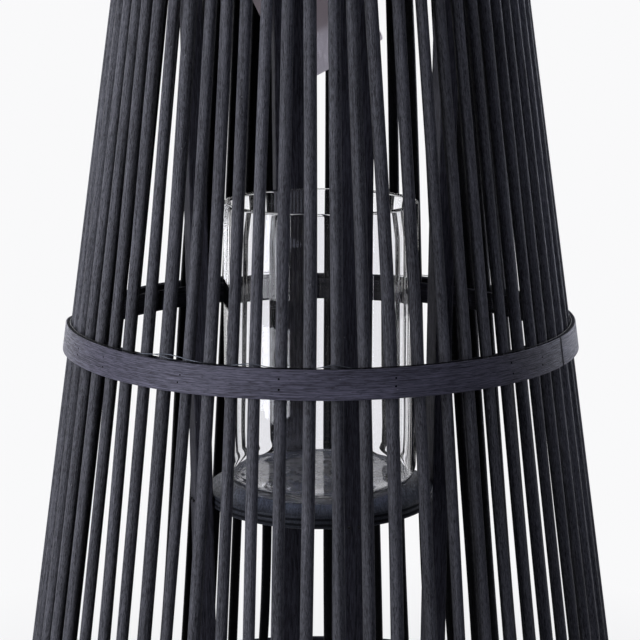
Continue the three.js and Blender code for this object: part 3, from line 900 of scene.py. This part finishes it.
TAG_WIDTH = 67 * MM
TAG_HEIGHT = 120 * MM
TAG_CORNER = 2 * MM
TAG_HOLE_INSET = 6 * MM
TAG_HOLE_RADIUS = 1.1 * MM
TAG_CREASE = 27 * MM  # above the lower edge
TAG_TURN_UP = 0.16  # slope of the strip below the crease
TAG_CURL = 1.2 * MM  # at half the card's width from its middle
TAG_RUB = 0.8 * MM  # half width of the crease's rubbed line
TAG_FADE = 1.5 * MM  # height over which the painted shade above the crease sets in
# How deep the painted shade above the crease is
TAG_SHADE = 0.85
TAG_ROWS = 26


def add_tag():
    """A card with a hole near its top corner: each face is ruled from the hole's circle to the card's
    outline, the outline's points in order round it. The card curls as a parabola across its width, and
    a crease turns the lower strip outward a little."""
    joint = next(j for j in frame["joints"] if j["name"] == "tag_swing")
    pivot = np.array(joint["pos_m"])
    outward = np.array(joint["axis"]) * np.sign(np.dot(joint["axis"], towards(azimuth_of(pivot))[0]))
    sideways = np.cross(UP, outward)
    level = pivot - np.dot(pivot, outward) * outward
    reach = corners("swing_tag") @ outward
    outline, _ = rounded_rectangle(TAG_WIDTH, TAG_HEIGHT, TAG_CORNER, spans=14)
    outline = outline + [TAG_WIDTH / 2 - TAG_HOLE_INSET, TAG_HOLE_INSET - TAG_HEIGHT / 2]
    around = outline / np.linalg.norm(outline, axis=1, keepdims=True)
    share = np.linspace(0, 1, TAG_ROWS)[:, None, None] ** 1.3
    face = around * TAG_HOLE_RADIUS + share * (outline - around * TAG_HOLE_RADIUS)
    above = face[..., 1] + TAG_HEIGHT - TAG_HOLE_INSET
    turn_up = np.maximum(TAG_CREASE - above, 0) * TAG_TURN_UP
    curl = TAG_CURL * ((face[..., 0] - TAG_WIDTH / 2 + TAG_HOLE_INSET) / (TAG_WIDTH / 2)) ** 2
    lift = (turn_up + curl) * np.clip(share[..., 0] * 3, 0, 1)
    rubbed = np.exp(-((above - TAG_CREASE) / TAG_RUB) ** 2)
    # Painted shade above the crease
    upper = TAG_SHADE * np.clip((above - TAG_CREASE) / TAG_FADE, 0, 1)
    hang = math.atan2(TAG_WIDTH / 2 - TAG_HOLE_INSET, TAG_HEIGHT / 2 - TAG_HOLE_INSET)
    swung = np.stack([face[..., 0] * math.cos(hang) + face[..., 1] * math.sin(hang),
                      face[..., 1] * math.cos(hang) - face[..., 0] * math.sin(hang)], axis=-1)
    layers = []
    for side, order in ((reach.max(), 1), (reach.min(), -1)):
        out = (side + lift)[..., None] * outward
        place = swung[..., 0, None] * sideways + swung[..., 1, None] * UP + out
        layers.append((place + level)[::order])
    grid = np.vstack(layers)
    rubbed, upper = (np.vstack([values, values[::-1]]).ravel() for values in (rubbed, upper))
    add_piece("card_tag", grid.reshape(-1, 3), [grid_faces(*grid.shape[:2], loop=True)], CARD, "grey_card",
              body="tag", replaces=["swing_tag"], rubbed=rubbed, upper=upper)


# ---- Studio ---------------------------------------------------------------------------------------

BACKGROUND = "#f9f9fa"
FLOOR_SIZE = 30.0
FLOOR_GAP = 0.2 * MM  # below the lantern's lowest point
SHADOW_DEPTH = 0.16  # share of the floor's light that a shadow can take away
SHADOW_REACH = (0.2, 0.45)  # over these distances from the middle the floor turns into plain background
# How bright gloss and glass see the sweep in front, and the depths between which that grows to 1
FLOOR_SWEEP = {"front": 0.08, "low": -0.4, "high": 0.6}
WORLD_SWEEP = {"front": 0.03, "low": -0.1, "high": 0.4}
AMBIENT = 0.012
AIM_HEIGHT = 0.36
# Each soft box: azimuth and elevation in degrees, distance, width and height in metres, radiance and
# colour, and whether it is seen through the glass
SOFTBOXES = {
    "key_left": (-54, 9, 0.9, 0.68, 0.98, 4.7, "#f5f7ff", True),
    "fill_right": (46, 12, 1.3, 1.1, 1.1, 0.86, "#e4e8ff", True),
    "back_right": (138, 12, 1.5, 0.8, 1.3, 2.4, "#e6ecff", False),
    "back_left": (-150, 12, 1.5, 0.8, 1.3, 2.4, "#f5f7ff", False),
    "top": (180, 74, 1.6, 1.0, 1.0, 1.3, "#e6ecff", True),
}


def sweep_light(tree, depth, front, low, high):
    """How bright the studio's backdrop looks: 1 to the camera; to rays that gloss and glass send on, 1
    behind the lantern and dim in front, as depth grows from low to high. Also 1 for all those rays."""
    path = add_node(tree, "ShaderNodeLightPath").outputs
    bent = calculated(tree, "MAXIMUM", path["Is Glossy Ray"], path["Is Transmission Ray"])
    direct = calculated(tree, "MAXIMUM", path["Is Camera Ray"], bent)
    dimmed = calculated(tree, "MULTIPLY", bent, ranged(tree, depth, low, high, front, 1.0))
    return calculated(tree, "MAXIMUM", path["Is Camera Ray"], dimmed), direct


def floor_material():
    """A pale matt studio sweep: it takes the lantern's soft shadow near its middle, and further out it
    shows the plain background colour. It throws little light back up at the lantern, as if dark cloth
    lay round it out of sight. Fine paper tooth breaks its light a little."""
    material, tree = new_material("pale_studio_floor")
    place = own_place(tree)
    tooth = noise(tree, place, (2, 2, 2), detail=3.0)
    behind = add_node(tree, "ShaderNodeSeparateXYZ", {0: place}).outputs["Y"]
    bright, direct = sweep_light(tree, behind, **FLOOR_SWEEP)
    shade = blended(tree, direct, linear("#4a4a4a"), linear("#f2f2f2"))
    paper = add_node(tree, "ShaderNodeBsdfDiffuse", {"Color": shade, "Normal": bumped(tree, tooth, 0.1, 0.1)})
    glow = add_node(tree, "ShaderNodeEmission", {"Color": linear(BACKGROUND), "Strength": bright})
    distance = add_node(tree, "ShaderNodeVectorMath", {0: place}, operation="LENGTH").outputs["Value"]
    plain = ranged(tree, distance, *SHADOW_REACH, 1 - SHADOW_DEPTH, 1.0)
    share = calculated(tree, "MULTIPLY", plain, direct)
    mixed = add_node(tree, "ShaderNodeMixShader", {0: share, 1: paper.outputs[0], 2: glow.outputs[0]})
    finish_surface(tree, mixed)
    return material


def add_floor():
    half = FLOOR_SIZE / 2
    square = [(-half, -half, 0), (half, -half, 0), (half, half, 0), (-half, half, 0)]
    mesh = bpy.data.meshes.new("studio_floor")
    mesh.from_pydata(square, [], [(0, 1, 2, 3)])
    mesh.materials.append(floor_material())
    floor = bpy.data.objects.new("studio_floor", mesh)
    floor.location.z = cad_box[0].z - FLOOR_GAP
    bpy.context.scene.collection.objects.link(floor)


def add_softbox(name, azimuth, elevation, distance, width, height, radiance, colour, seen_through):
    """A soft box that faces the lantern's middle. Its power gives its face the radiance. One that stands
    behind the glass isn't seen through it."""
    data = bpy.data.lights.new(name, "AREA")
    data.shape = "RECTANGLE"
    data.size, data.size_y = width, height
    data.energy = radiance * math.pi * width * height
    data.color = linear(colour)[:3]
    light = bpy.data.objects.new(name, data)
    outward, _ = towards(math.radians(azimuth))
    away = outward * math.cos(math.radians(elevation)) + UP * math.sin(math.radians(elevation))
    light.location = AIM_HEIGHT * UP + distance * away
    light.rotation_euler = (math.radians(90 - elevation), 0, math.radians(azimuth))
    light.visible_camera = False
    light.visible_transmission = seen_through
    bpy.context.scene.collection.objects.link(light)


def add_world():
    """White to the camera; in reflections and through glass white behind the lantern and dim in front, as
    in a studio with a lit sweep; and a low even light for the rest."""
    world = bpy.data.worlds.new("studio")
    world.use_nodes = True
    tree = world.node_tree
    tree.nodes.clear()
    look = add_node(tree, "ShaderNodeTexCoord").outputs["Generated"]
    behind = add_node(tree, "ShaderNodeSeparateXYZ", {0: look}).outputs["Y"]
    bright, _ = sweep_light(tree, behind, **WORLD_SWEEP)
    strength = calculated(tree, "MAXIMUM", bright, AMBIENT)
    light = add_node(tree, "ShaderNodeBackground", {"Color": linear(BACKGROUND), "Strength": strength})
    add_node(tree, "ShaderNodeOutputWorld", {"Surface": light.outputs[0]})
    bpy.context.scene.world = world


def add_studio():
    add_floor()
    add_world()
    for name, settings in SOFTBOXES.items():
        add_softbox(name, *settings)
    bpy.context.scene.view_settings.view_transform = "Standard"


# ---- The whole ------------------------------------------------------------------------------------

add_camera()
add_sticks()
add_hoops()
add_wire()
add_legs()
add_shelf()
add_glass()
add_nails()
add_tag()
add_studio()
